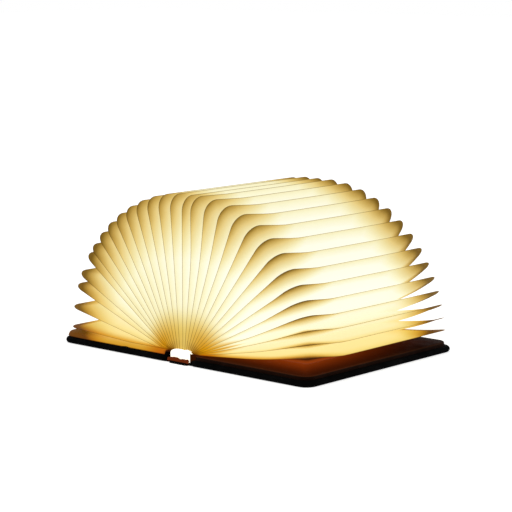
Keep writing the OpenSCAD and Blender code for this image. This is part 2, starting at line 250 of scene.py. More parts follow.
def buildFineMarks():                             # moulding haze and light scratches
    tree, given, out = newGroup("fineMarks", {"Scale": 300.0}, ("Height", "Tone"))
    point = objectPoint(tree)
    haze = addNode(tree, "ShaderNodeTexNoise",
                   {"Vector": point, "Scale": given["Scale"], "Detail": 6.0}).outputs["Fac"]
    marks = addNode(tree, "ShaderNodeTexNoise",
                    {"Vector": point, "Scale": 40.0, "Detail": 2.0, "Distortion": 6.0})
    line = rangeOf(tree, marks.outputs["Fac"], 0.48, 0.52)
    tree.links.new(haze, out.inputs["Height"])
    tree.links.new(plus(tree, times(tree, haze, 0.7),
                         times(tree, line, 0.3)), out.inputs["Tone"])
    return tree


leatherGrain, fibreGrain, fineMarks = buildLeatherGrain(), buildFibreGrain(), buildFineMarks()


def placeGroup(tree, group, **values):
    return addNode(tree, "ShaderNodeGroup", values, node_tree=group).outputs


# paper: the pages glow from inside; this light is painted into their emission and base colour, darker towards
# their edges and corners

paper = {"tone": [(0.0, (0.2, 0.11, 0.01)), (0.0625, (0.285, 0.165, 0.018)),
                  (0.2, (0.558, 0.361, 0.08)), (0.3, (0.687, 0.491, 0.144)),
                  (0.425, (0.839, 0.658, 0.262)), (0.6, (0.9, 0.8, 0.44)),
                  (0.8, (0.965, 0.93, 0.67)), (1.0, (0.991, 0.98, 0.86))],
         "cornerReach": 0.058, "depthGain": 2.2, "span": 0.08, "mottle": 0.025,
         "farDrop": 0.008, "farLowGain": 2.2, "placeDrop": 0.011,
         "cornerDrop": 0.015, "cornerPlaces": (0.1, 1.0), "cornerRun": 0.055,
         "lastTipDrop": 0.03, "lastPlaces": (0.95, 1.0),
         "lowTint": (0.97, 0.82, 0.38), "lowPlaces": (0.65, 1.0),
         "farTint": (0.88, 0.72, 0.1), "farEnds": (0.3, 0.9),
         "edgeTint": (0.8, 0.52, 0.12), "edgePlaces": (0.86, 0.935), "edgeEnds": (-0.95, -0.6),
         "edgeRun": 0.016,
         "spineWarm": (0.85, 0.5, 0.03), "warmRun": (0.014, 0.042), "warmPlaces": (0.0, 0.6),
         "warmLeast": 0.3, "spineGold": (0.98, 0.92, 0.3), "goldRun": (0.016, 0.046),
         "goldLeast": 0.8, "spineDeep": (0.2, 0.045, 0.002), "deepRun": (0.006, 0.014),
         "line": (0.00024, 0.000576), "lineTint": (0.45, 0.38, 0.26),
         "lineCorner": (0.004, 0.035), "lineFade": 0.85, "lineEnds": (0.0, 0.5),
         "shadow": [(0.0, (1.0, 1.0, 1.0)), (0.5, (0.05, 0.018, 0.004)),
                    (1.0, (0.38, 0.075, 0.02))],
         "baseShare": 0.45, "rootBase": (0.65, 0.45, 0.1), "rootRun": (0.008, 0.05),
         "grainScale": 420.0, "grainStretch": 2.5,
         "strength": 0.62, "bump": 0.00008, "rough": 0.75, "gloss": 0.1}


def fallingOf(tree, value, span, smooth=True):    # 1 below the span, 0 above it
    return rangeOf(tree, value, *span, 1.0, 0.0, smooth)


def litDrop(tree, place, low, corner, end):       # how much darker a spot is than its depth says
    far = times(tree, rangeOf(tree, end, 0.0, 1.0),
                plus(tree, times(tree, low, paper["farLowGain"]), 1.0))
    drop = plus(tree, times(tree, far, paper["farDrop"]),
                times(tree, place, paper["placeDrop"]))
    run = paper["cornerRun"]
    lowCorner = times(tree, rangeOf(tree, place, *paper["cornerPlaces"]),
                      rangeOf(tree, corner, 0.0, run, paper["cornerDrop"], 0.0, False))
    lastTip = times(tree, rangeOf(tree, place, *paper["lastPlaces"]),
                    rangeOf(tree, corner, 0.0, run, paper["lastTipDrop"], 0.0, False))
    return plus(tree, drop, plus(tree, lowCorner, lastTip))


def makePaper():
    material, tree, shader = newMaterial("glowingPaper")
    depth, corner, spine, place, end, shade = (attributeOf(tree, name) for name in (
        "edgeDepth", "cornerGap", "spineGap", "place", "endShare", "shade"))
    low = rangeOf(tree, place, *paper["lowPlaces"])
    grain = placeGroup(tree, fibreGrain, Scale=paper["grainScale"],
                       Stretch=paper["grainStretch"])
    lit = plus(tree, math2(tree, "MINIMUM", corner, paper["cornerReach"]),
               times(tree, depth, paper["depthGain"]))
    lit = math2(tree, "SUBTRACT", lit, litDrop(tree, place, low, corner, end))
    mottle = rangeOf(tree, grain["Tone"], 0.3, 0.7, -paper["mottle"], paper["mottle"], False)
    tone = rampOf(tree, plus(tree, math2(tree, "DIVIDE", lit, paper["span"]), mottle),
                  paper["tone"])
    # painted light: the lower pages' glow is warmer and dimmer
    tone = mixColour(tree, low, tone, paper["lowTint"], "MULTIPLY")
    # painted shade: the far ends of the lower pages glow a darker amber
    farShadeMask = times(tree, low, rangeOf(tree, end, *paper["farEnds"]))
    tone = mixColour(tree, farShadeMask, tone, paper["farTint"], "MULTIPLY")
    # painted shade: the near-end edges of the lowest pages, next to the pad, glow a darker orange
    lowEdge = times(tree, rangeOf(tree, place, *paper["edgePlaces"]),
                    times(tree, fallingOf(tree, end, paper["edgeEnds"]),
                          fallingOf(tree, depth, (0.0, paper["edgeRun"]))))
    tone = mixColour(tree, lowEdge, tone, paper["edgeTint"], "MULTIPLY")
    # painted light: near the light bar the glow turns warm and golden, most on the lower pages
    warm = times(tree, fallingOf(tree, spine, paper["warmRun"]),
                 rangeOf(tree, place, *paper["warmPlaces"], paper["warmLeast"], 1.0, False))
    tone = mixColour(tree, warm, tone, paper["spineWarm"], "MULTIPLY")
    gold = times(tree, fallingOf(tree, spine, paper["goldRun"]),
                 rangeOf(tree, place, 0.0, 1.0, paper["goldLeast"], 1.0, False))
    tone = mixColour(tree, gold, tone, paper["spineGold"], "MULTIPLY")
    # painted shade: the roots of the lower pages, beside the gutter, are darkened
    deep = times(tree, fallingOf(tree, spine, paper["deepRun"]), place)
    tone = mixColour(tree, deep, tone, paper["spineDeep"])
    # painted shade: a thin darker line along each page's bonded edge, where little light passes; it fades at the
    # far corners
    farCorner = times(tree, rangeOf(tree, corner, *paper["lineCorner"], paper["lineFade"], 0.0),
                      rangeOf(tree, end, *paper["lineEnds"]))
    line = times(tree, fallingOf(tree, depth, paper["line"]),
                 math2(tree, "SUBTRACT", 1.0, farCorner))
    tone = mixColour(tree, line, tone, paper["lineTint"], "MULTIPLY")
    tone = mixColour(tree, 1.0, tone, rampOf(tree, shade, paper["shadow"]), "MULTIPLY")
    # painted glow and shade: the base colour is the same painted light at a lower share
    base = mixColour(tree, 1.0, tone, (paper["baseShare"],) * 3, "MULTIPLY")
    # painted shade: near the roots the base colour is darkened further
    base = mixColour(tree, fallingOf(tree, spine, paper["rootRun"]), base,
                     paper["rootBase"], "MULTIPLY")
    wire(tree, shader, colour=base, glow=tone,
         normal=bumpFrom(tree, grain["Height"], paper["bump"]))
    shader.inputs["Emission Strength"].default_value = paper["strength"]
    shader.inputs["Roughness"].default_value = paper["rough"]
    shader.inputs["Specular IOR Level"].default_value = paper["gloss"]
    return material


# leatherette on the covers, softer brown lining inside them

leatherette = {"low": (0.001, 0.001, 0.0011), "high": (0.004, 0.004, 0.0044), "scale": 1100.0,
               "bump": 0.00012, "roughLow": 0.68, "roughHigh": 0.85, "gloss": 0.01}
lining = {"low": (0.006, 0.0016, 0.0005), "high": (0.014, 0.0035, 0.0011), "scale": 1300.0,
          "edge": (0.12, 0.05, 0.018), "lit": (0.25, 0.033, 0.0025), "bump": 0.00006,
          "roughLow": 0.6, "roughHigh": 0.8, "gloss": 0.03}


def makeLeatherette():
    material, tree, shader = newMaterial("blackLeatherette")
    grain = placeGroup(tree, leatherGrain, Scale=leatherette["scale"], Crease=0.6)
    colour = rampOf(tree, grain["Tone"], [(0.3, leatherette["low"]), (0.75, leatherette["high"])])
    rough = rangeOf(tree, grain["Tone"], 0.3, 0.7, leatherette["roughHigh"],
                    leatherette["roughLow"])
    wire(tree, shader, colour=colour, rough=rough,
         normal=bumpFrom(tree, grain["Height"], leatherette["bump"]))
    shader.inputs["Specular IOR Level"].default_value = leatherette["gloss"]
    return material


def makeLining():
    material, tree, shader = newMaterial("brownLining")
    grain = placeGroup(tree, leatherGrain, Scale=lining["scale"], Crease=0.8)
    colour = rampOf(tree, grain["Tone"], [(0.3, lining["low"]), (0.75, lining["high"])])
    # painted highlight: the pad's rounded top edge is mixed towards a lighter brown
    edge = attributeOf(tree, "edgeWear")
    colour = mixColour(tree, times(tree, edge, 0.7), colour, lining["edge"])
    lit = attributeOf(tree, "warmth")
    glow = mixColour(tree, lit, (0.0, 0.0, 0.0), lining["lit"])
    rough = rangeOf(tree, grain["Tone"], 0.3, 0.7, lining["roughHigh"], lining["roughLow"])
    wire(tree, shader, colour=colour, rough=rough, glow=glow,
         normal=bumpFrom(tree, grain["Height"], lining["bump"]))
    shader.inputs["Emission Strength"].default_value = 1.0
    shader.inputs["Specular IOR Level"].default_value = lining["gloss"]
    return material


# the light bar's milky cover

milky = {"base": (0.8, 0.79, 0.74), "low": (1.0, 0.93, 0.74), "high": (1.0, 0.99, 0.93),
         "wall": (0.03, 0.006, 0.0006), "haze": (0.6, 0.58, 0.5), "hazeShare": 0.15,
         "grainScale": 500.0, "bump": 0.00003, "rough": 0.35, "chipPitch": 0.0305,
         "strength": 1.05}


def makeMilky():
    material, tree, shader = newMaterial("milkyDiffuser")
    grain = placeGroup(tree, fineMarks, Scale=milky["grainScale"])
    parts = addNode(tree, "ShaderNodeSeparateXYZ", {0: objectPoint(tree)})
    wave = math2(tree, "COSINE", times(tree, parts.outputs["Y"],
                                       2 * math.pi / milky["chipPitch"]))
    chip = rangeOf(tree, wave, -1.0, 1.0)
    glow = mixColour(tree, chip, milky["low"], milky["high"])
    wall = attributeOf(tree, "wallShade")
    glow = mixColour(tree, wall, glow, milky["wall"], "MULTIPLY")
    base = mixColour(tree, times(tree, grain["Tone"], milky["hazeShare"]), milky["base"],
                     milky["haze"])
    base = mixColour(tree, wall, base, milky["wall"], "MULTIPLY")
    wire(tree, shader, colour=base, glow=glow,
         normal=bumpFrom(tree, grain["Height"], milky["bump"]))
    shader.inputs["Emission Strength"].default_value = milky["strength"]
    shader.inputs["Roughness"].default_value = milky["rough"]
    return material


# plain finishes of the hidden pieces


def makeMarked(name, look):                       # moulded plastic, boards, foam, foil, metal
    material, tree, shader = newMaterial(name)
    group = fibreGrain if look.get("fibre") else fineMarks
    grain = placeGroup(tree, group, Scale=look["scale"])
    colour = rampOf(tree, grain["Tone"], [(0.3, look["low"]), (0.7, look["high"])])
    rough = rangeOf(tree, grain["Tone"], 0.3, 0.7, look["rough"] - 0.08, look["rough"] + 0.08)
    wire(tree, shader, colour=colour, rough=rough,
         normal=bumpFrom(tree, grain["Height"], look["bump"]))
    shader.inputs["Metallic"].default_value = look.get("metal", 0.0)
    return material


hiddenLooks = {
    "grey_board": {"low": (0.26, 0.24, 0.2), "high": (0.36, 0.33, 0.28), "scale": 500.0,
                   "rough": 0.9, "bump": 0.0001, "fibre": True},
    "dark_plastic": {"low": (0.012, 0.011, 0.01), "high": (0.025, 0.022, 0.02),
                     "scale": 700.0, "rough": 0.5, "bump": 0.00003},
    "white_board": {"low": (0.7, 0.7, 0.68), "high": (0.8, 0.8, 0.78), "scale": 600.0,
                    "rough": 0.4, "bump": 0.00002},
    "light_chip": {"low": (0.7, 0.6, 0.2), "high": (0.85, 0.75, 0.35), "scale": 900.0,
                   "rough": 0.35, "bump": 0.00001},
    "battery_foil": {"low": (0.35, 0.36, 0.38), "high": (0.5, 0.51, 0.53), "scale": 250.0,
                     "rough": 0.35, "bump": 0.00006, "metal": 0.8},
    "foam": {"low": (0.03, 0.03, 0.032), "high": (0.06, 0.06, 0.062), "scale": 900.0,
             "rough": 0.95, "bump": 0.0002, "fibre": True},
    "green_board": {"low": (0.01, 0.07, 0.025), "high": (0.02, 0.12, 0.045), "scale": 400.0,
                    "rough": 0.4, "bump": 0.00002},
    "tinned_steel": {"low": (0.45, 0.45, 0.46), "high": (0.6, 0.6, 0.61), "scale": 400.0,
                     "rough": 0.32, "bump": 0.00001, "metal": 1.0},
    "black_chip": {"low": (0.012, 0.012, 0.012), "high": (0.03, 0.03, 0.03), "scale": 900.0,
                   "rough": 0.55, "bump": 0.00001},
    "lead_sleeve": {"low": (0.3, 0.02, 0.015), "high": (0.42, 0.035, 0.025), "scale": 700.0,
                    "rough": 0.45, "bump": 0.00002},
    "brass_pin": {"low": (0.55, 0.38, 0.12), "high": (0.7, 0.5, 0.18), "scale": 600.0,
                  "rough": 0.3, "bump": 0.00001, "metal": 1.0},
    "nickel": {"low": (0.5, 0.48, 0.44), "high": (0.64, 0.62, 0.58), "scale": 500.0,
               "rough": 0.25, "bump": 0.00001, "metal": 1.0}}

finishes = {name: makeMarked(name.replace("_", " ").title().replace(" ", ""), look)
            for name, look in hiddenLooks.items()}
finishes["page_paper"] = makePaper()
finishes["black_leatherette"] = makeLeatherette()
finishes["brown_lining"] = makeLining()
finishes["milky_diffuser"] = makeMilky()

for cadObject in frame["nodes"].values():
    for slot in cadObject.material_slots:
        slot.material = finishes[slot.material.name.split(".")[0]]
print("materials ready:", len(finishes))

# mesh helpers


def smoothStep(value):
    value = np.clip(value, 0.0, 1.0)
    return value * value * (3 - 2 * value)


def newPiece(name, points, faces, slotName, marks=None, smooth=True):
    mesh = bpy.data.meshes.new(name)
    mesh.from_pydata([tuple(map(float, p)) for p in points], [], faces)
    mesh.update()
    mesh.polygons.foreach_set("use_smooth", [smooth] * len(mesh.polygons))
    for key, values in (marks or {}).items():
        attribute = mesh.attributes.new(key, "FLOAT", "POINT")
        attribute.data.foreach_set("value", np.asarray(values, np.float32))
    mesh.materials.append(finishes[slotName])
    piece = bpy.data.objects.new(name, mesh)
    bpy.context.scene.collection.objects.link(piece)
    return piece


def gridFaces(rows, columns, flip=False, wrapRows=False):
    faces = []
    for row in range(rows if wrapRows else rows - 1):
        nextRow = (row + 1) % rows
        for column in range(columns - 1):
            a, b = row * columns + column, row * columns + column + 1
            c, d = nextRow * columns + column + 1, nextRow * columns + column
            faces.append((a, d, c, b) if flip else (a, b, c, d))
    return faces


# pages: each one is two leaves, bonded along its edge and opening inwards to a crease

page = {"bond": 0.004, "foldDepth": 0.033, "openShape": 0.25, "nearRadius": 0.0135,
        "farRadius": 0.013, "creaseRadius": 0.003, "cornerEase": 0.008,
        "nearCurl": 1.6, "nearStart": 0.06, "nearFade": 0.048, "nearTurn": 1.7,
        "nearTurnPlaces": 11, "tipTurn": 2.1, "tipPlaces": 4.5, "tipStart": 0.075, "tipRun": 0.06,
        "farSag": 3.5, "farLift": 3.7, "farStretch": 0.0021,
        "farStart": 0.045, "farFade": 0.07, "farPower": 2.44,
        "midRoot": 0.0032, "lowRoot": 0.0085, "rootPower": 9, "lastRoot": 0.0015,
        "closeDepth": 0.036, "closeSteps": (0.01, 0.3, 0.6, 0.85, 0.97), "closeShade": 0.55,
        "underDepth": 0.003, "underRun": 0.009, "underShade": 0.5, "edgeTaper": 0.0003,
        "roomShare": 0.8, "lapInset": 0.034,
        "depths": [0, 0.00012, 0.00035, 0.0008, 0.0016, 0.0027, 0.004, 0.005, 0.0063, 0.008,
                   0.0103, 0.0135, 0.0175, 0.022, 0.027, 0.033],
        "endRun": 18, "arc": 9, "foreRun": 18}
leanTweaks = {10: -0.021, 12: -0.013}             # left pages that stand a little higher
spread = {1: (0.0057, 0.9), -1: (0.0096, 0.75)}   # how far the leaves bow out near their roots


def rootOf(places):                               # where a place's paper begins, out from the pole
    share = (places / lastPlace) ** page["rootPower"]
    return page["midRoot"] + (page["lowRoot"] - page["midRoot"]) * share


def leanOf(places, side):
    return np.interp(places, range(lastPlace + 1), leanShares[side])


for number, change in leanTweaks.items():
    leanShares[-1][number] += change


def pageStations():
    near = [("end", t) for t in np.linspace(0, 1, page["endRun"], endpoint=False)]
    arc = [("arc", t) for t in np.linspace(0, 1, page["arc"], endpoint=False)]
    fore = [("fore", t) for t in np.linspace(0, 1, page["foreRun"] + 1)]
    back = [("farArc", t) for t in np.linspace(1, 0, page["arc"], endpoint=False)[1:]]
    far = [("farEnd", t) for t in np.linspace(1, 0, page["endRun"] + 1)]
    return near + arc + fore + back + far


def stationPoint(kind, t, depth, root):
    ease = math.exp(-depth / page["cornerEase"])
    near, far = (page["creaseRadius"] + (page[key] - page["creaseRadius"]) * ease
                 for key in ("nearRadius", "farRadius"))
    s, y = reach - depth, halfLength - depth
    if kind == "fore":
        return s, -(y - near) + t * (2 * y + page["farStretch"] - near - far)
    radius = far if kind.startswith("far") else near
    y += page["farStretch"] if kind.startswith("far") else 0
    if kind in ("end", "farEnd"):
        point = (root + (s - radius - root) * t, -y)
    else:
        point = (s - radius * (1 - math.sin(t * math.pi / 2)),
                 -(y - radius * (1 - math.cos(t * math.pi / 2))))
    return (point[0], -point[1]) if kind.startswith("far") else point


def openShare(depth):                             # 0 where the leaves are bonded, 1 at the crease
    t = max(0.0, (depth - page["bond"]) / (page["foldDepth"] - page["bond"]))
    return t * t * (1 + page["openShape"]) / (t + page["openShape"])


def nearTurnOf(place, s):                         # right pages lift a little at their near ends
    rise = smoothStep((s - page["nearStart"]) / (reach - page["nearStart"]))
    curl = page["nearCurl"] * math.sqrt(place / lastPlace) * rise
    places = page["nearTurnPlaces"]
    whole = page["nearTurn"] * math.sin(math.pi * min(place, places) / places)
    tip = page["tipTurn"] * min(1.0, place) * math.exp(-(place / page["tipPlaces"]) ** 2)
    return max(curl, whole + tip * smoothStep((s - page["tipStart"]) / page["tipRun"]))


def turnOf(place, s, y):                          # a right page's turn from its lean, in degrees
    near = nearTurnOf(place, s) * smoothStep(1 - (y + halfLength) / page["nearFade"])
    far = smoothStep(1 - (halfLength + page["farStretch"] - y) / page["farFade"])
    rise = np.clip((s - page["farStart"]) / (reach - page["farStart"]), 0, 1)
    fade = min(1.0, place / 2) * min(1.0, (lastPlace - place) / 2)
    lift = page["farLift"] * rise ** page["farPower"]
    return float(fade * far * (page["farSag"] - lift) - near)


def spreadOf(place, s, lean, side):               # limited, so that low leaves clear the lining
    most, power = spread[side]
    room = page["roomShare"] * (s * math.cos(lean) + (lastPlace - place) * pagePitch)
    bow = most * (1 - s / reach) * max(0.0, math.sin(math.pi * place / lastPlace)) ** power
    return max(0.0, min(bow, room))


def fanPoint(place, s, y, side, shift):           # the point and its share of the cover's turn
    lean = math.radians(90 * float(leanOf(place, side)))
    a = lean + (math.radians(turnOf(place, s, y)) if side > 0 else 0.0)
    shut = place * pagePitch - poleX + shift
    o = shut + spreadOf(place, s, lean, side)
    across, up = s * math.sin(a) + o * math.cos(a), s * math.cos(a) - o * math.sin(a)
    closed = math.asin(max(-1.0, min(1.0, shut / max(math.hypot(across, up), 1e-6))))
    share = (math.atan2(across, up) - closed) / (math.pi / 2)
    return (side * (poleX + across), y, poleZ + up), min(max(share, 0.0), 1.0)


def leafRow(place, toward, flat=False):           # (place, depth, shift, shade), edge inwards
    row = []
    for depth in page["depths"]:
        opened = 0.0 if flat else openShare(depth)
        taper = min(1.0, math.sqrt(depth / page["edgeTaper"]))
        thick = paperThick / 2 * (1 - opened) * taper
        row.append((place + toward * opened / 2, depth, toward * thick, 0.0))
    return row


def buildPage(number, side, rows):
    points, shares = [], []
    marks = {"edgeDepth": [], "cornerGap": [], "spineGap": [], "place": [], "endShare": [],
             "shade": []}
    stations = pageStations()
    for kind, t in stations:
        for place, depth, shift, shade in rows:
            root = float(rootOf(abs(place))) + (page["lastRoot"] if number == pageCount else 0)
            s, y = stationPoint(kind, t, depth, root)
            push, drop = lapOf(depth) if number == pageCount else (0.0, 0.0)
            if push:
                edge = Vector((s, y)) - Vector((*nearestInner(s, y),))
                edge = edge.normalized() * push
                s, y = s + edge.x, y + edge.y
            point, share = fanPoint(abs(place), s, y, side, shift)
            points.append((point[0], point[1], point[2] - drop))
            shares.append(share)
            marks["edgeDepth"].append(depth)
            marks["cornerGap"].append(math.hypot(reach - s, halfLength - abs(y)))
            marks["spineGap"].append(s)
            marks["place"].append(abs(place) / lastPlace)
            marks["endShare"].append(y / halfLength)
            marks["shade"].append(shade)
    faces = gridFaces(len(stations), len(rows), flip=side > 0)
    name = "pageSheet%02d" % number
    if number == lastPlace:
        name += "Right" if side > 0 else "Left"
    piece = newPiece(name, points, faces, "page_paper", marks)
    cover = "right_cover" if side > 0 else "left_cover"
    if number == pageCount:
        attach(piece, cover)
    else:
        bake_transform(piece)
    return piece


# the lowest left page laps over the edge of its pad: depth, push outwards, drop

lap = [(0.0, 0.0042, 0.0035), (0.0015, 0.0051, 0.0023), (0.003, 0.006, 0.0008),
       (0.0042, 0.0062, 0.0), (0.006, 0.0052, 0.0), (0.009, 0.0028, 0.0), (0.014, 0.0, 0.0)]


def lapOf(depth):
    depths = [row[0] for row in lap]
    return (float(np.interp(depth, depths, [row[1] for row in lap])),
            float(np.interp(depth, depths, [row[2] for row in lap])))


def nearestInner(s, y):                           # what an edge point is pushed away from
    inset = page["lapInset"]
    return min(s, reach - inset), max(-halfLength + inset, min(halfLength - inset, y))


def buildPages():
    for side in (1, -1):
        for place in range(0, lastPlace + (side < 0)):
            number = pageNumber(place, side)
            upper = leafRow(place, -1)
            lower = leafRow(place, 1, flat=place == lastPlace)
            if side > 0 and place == lastPlace - 1:   # the underside next to the pad is in shade
                lower = [(at, depth, shift, page["underShade"] * float(smoothStep(
                    (depth - page["underDepth"]) / page["underRun"])))
                    for at, depth, shift, _ in lower]
            if place == 0:
                rows = lower
            else:
                rows = upper[::-1] + lower[1:]
            if side > 0 and place == lastPlace - 1:   # the fan is glued to the right pad
                run = page["closeDepth"] - page["foldDepth"]
                rows = rows + [(place + 0.5 + 0.5 * t, page["foldDepth"] + run * t, 0.0,
                                min(1.0, page["closeShade"] + t))
                               for t in page["closeSteps"]]
            piece = buildPage(number, side, rows)
            if place == 0 and side > 0:
                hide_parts(pageName(number), "pleats_right")
            elif place == 0:
                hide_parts("pleats_left")
            else:
                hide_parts(pageName(number))


buildPages()
print("pages ready:", pageCount)

# covers: leatherette wrapped round a board, with rounded edges

cover = {"cornerRadius": 0.012, "cornerSteps": 9, "step": 0.004, "profile": 8,
         "capInset": 0.0025, "waveScale": 60, "wave": 0.00012,
         "tuckX": -0.068, "tuckWidth": 0.006, "tuckHeight": 0.0014, "tuckLow": -0.0005}


def coverPath(xIn, xOut, halfY, radius, step):    # round from the inner edge's near end to its far
    path = []
    count = max(2, int((xOut - radius - xIn) / step))
    path += [(x, -halfY, 0, -1) for x in np.linspace(xIn, xOut - radius, count, endpoint=False)]
    for a in np.linspace(0, math.pi / 2, cover["cornerSteps"]):
        path.append((xOut - radius + radius * math.sin(a), -halfY + radius - radius * math.cos(a),
                     math.sin(a), -math.cos(a)))
    count = max(2, int((halfY - radius) * 2 / step))
    path += [(xOut, y, 1, 0) for y in np.linspace(-halfY + radius, 0, count // 2)[1:]]
    mirror = [(x, -y, nx, -ny) for x, y, nx, ny in path[:-1]]
    return path + mirror[::-1]


def buildCover(side):
    name = "right_cover" if side > 0 else "left_cover"
    low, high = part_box(name)
    xIn, xOut = sorted((abs(low[0]), abs(high[0])))
    path = coverPath(xIn, xOut, high[1], cover["cornerRadius"], cover["step"])
    half = high[2] / 2
    rings = [(cover["capInset"] + half, -half)]
    rings += [(half * (1 - math.cos(a)), half * math.sin(a))
              for a in np.linspace(-math.pi / 2, math.pi / 2, cover["profile"] * 2 + 1)]
    rings += [(cover["capInset"] + half, half)]
    points = []
    for x, y, nx, ny in path:
        for inset, z in rings:
            spot = Vector((x * cover["waveScale"], y * cover["waveScale"], side * 3.0))
            wave = noise.noise(spot) * cover["wave"]
            px, py, pz = x - nx * inset, y - ny * inset, half + z
            if side < 0:
                lift = math.exp(-((x + cover["tuckX"]) / cover["tuckWidth"]) ** 2)
                if ny < -0.9 and z > cover["tuckLow"]:
                    pz += cover["tuckHeight"] * lift
            points.append((side * (px - nx * abs(wave)), py - ny * abs(wave), pz))
    columns = len(rings)
    faces = gridFaces(len(path), columns, flip=side > 0)
    last = (len(path) - 1) * columns
    bottom = [row * columns for row in range(len(path))]
    top = [row * columns + columns - 1 for row in range(len(path))]
    inner = list(range(columns)) + [last + column for column in range(columns - 1, -1, -1)]
    for loop in (bottom if side < 0 else bottom[::-1], top[::-1] if side < 0 else top,
                 inner[::-1] if side < 0 else inner):
        faces.append(tuple(loop))
    piece = newPiece("coverWrap" + ("Right" if side > 0 else "Left"), points, faces,
                     "black_leatherette")
    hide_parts(name)
    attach(piece, name)


for side in (1, -1):
    buildCover(side)
print("covers ready")

# lining pads

pad = {"cornerRadius": {1: 0.011, -1: 0.021}, "step": 0.005, "edgeRound": 0.0014,
       "insets": (0.0045, 0.012, 0.022, 0.035, 0.05, 0.06), "waveScale": 18, "wave": 0.00015,
       "worn": 0.2, "glowRun": 0.05, "edgeGlow": 0.12, "farLoss": 0.8, "farStart": -0.06,
       "farRun": 0.13}


def buildPad(side):
    name = "right_liner" if side > 0 else "left_liner"
    low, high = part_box(name)
    xIn, xOut = sorted((abs(low[0]), abs(high[0])))
    thick = high[2] - low[2]
    radius = pad["cornerRadius"][side]
    path = coverPath(xIn, xOut, high[1], radius, pad["step"])
    edge = pad["edgeRound"]
    rings = [(0.0, 0.0, 0.0), (-0.0, thick * 0.35, 0.0), (0.0001, thick - edge, 0.0)]
    # a painted highlight runs round the top edge, strongest half way round its rounding
    rings += [(edge * (1 - math.cos(a)), thick - edge + edge * math.sin(a),
               math.sin(2 * a) * pad["worn"]) for a in np.linspace(0.3, math.pi / 2, 5)]
    rings += [(inset, thick, 0.0) for inset in pad["insets"]]
    points, highlights, warmth = [], [], []
    for x, y, nx, ny in path:
        for inset, z, worn in rings:
            if inset > radius:
                px = min(max(x, xIn + inset), xOut - inset)
                py = min(max(y, inset - high[1]), high[1] - inset)
            else:
                spot = Vector((x * pad["waveScale"], y * pad["waveScale"], side))
                wave = abs(noise.noise(spot)) * pad["wave"]
                px, py = x - nx * (inset + wave), y - ny * (inset + wave)
            points.append((side * px, py, low[2] + z))
            highlights.append(worn)
            inside = min(xOut - px, high[1] - abs(py))
            warmth.append(warmthAt(py, inside) if z > thick * 0.8 else 0.0)
    columns = len(rings)
    faces = gridFaces(len(path), columns, flip=side > 0)
    last = (len(path) - 1) * columns
    top = [row * columns + columns - 1 for row in range(len(path))]
    inner = list(range(columns)) + [last + column for column in range(columns - 1, -1, -1)]
    for loop in (top[::-1] if side < 0 else top, inner[::-1] if side < 0 else inner):
        faces.append(tuple(loop))
    piece = newPiece("liningPad" + ("Right" if side > 0 else "Left"), points, faces,
                     "brown_lining", {"edgeWear": highlights, "warmth": warmth})
    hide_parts(name)
    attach(piece, "right_cover" if side > 0 else "left_cover")


def warmthAt(y, inside):                          # light that spills from the fan on the lining
    away = float(smoothStep((y - pad["farStart"]) / pad["farRun"]))
    rise = pad["edgeGlow"] + (1 - pad["edgeGlow"]) * float(smoothStep(inside / pad["glowRun"]))
    return rise * (1 - pad["farLoss"] * away)


for side in (1, -1):
    buildPad(side)
print("lining pads ready")

# flexible gutter: black skin below, brown lining above, wrinkled at its ends

gutter = {"rows": 90, "columns": 12, "skin": 0.0006, "wrinkle": 0.0004, "endWrinkle": 0.0007,
          "innerLevel": 0.0096, "outerLevel": 0.0092, "endStep": 0.0021,
          "endRun": 0.03, "stepRun": 0.0024, "foldScale": 260, "ridge": 0.00015, "glow": 0.8}


def sheetFaces(rows, columns, flip, turned):      # two layers of a grid and the rim between them
    span = columns + 1
    offset = (rows + 1) * span
    top = gridFaces(rows + 1, span, flip=flip)
    faces = top + [tuple(index + offset for index in face[::-1]) for face in top]
    border = list(range(span)) + [row * span + span - 1 for row in range(1, rows + 1)]
    border += [rows * span + column for column in range(span - 2, -1, -1)]
    border += [row * span for row in range(rows - 1, 0, -1)]
    for a, b in zip(border, border[1:] + border[:1]):
        faces.append((b, b + offset, a + offset, a) if turned else
                     (a, a + offset, b + offset, b))
    return faces


def stripPiece(name, slotName, lineOf, halfY, thick, side, marks=None):
    rows, columns = gutter["rows"], gutter["columns"]
    points, warmth = [], []
    for layer in (0, 1):
        for row in range(rows + 1):
            y = -halfY + 2 * halfY * row / rows
            for column in range(columns + 1):
                x, z = lineOf(column / columns, y)
                points.append((side * x, y, z - layer * thick))
                warmth.append(marks(y) if marks else 0.0)
    faces = sheetFaces(rows, columns, side < 0, side < 0)
    extra = {"edgeWear": [0.0] * len(points), "warmth": warmth} if marks else None
    return newPiece(name, points, faces, slotName, extra)


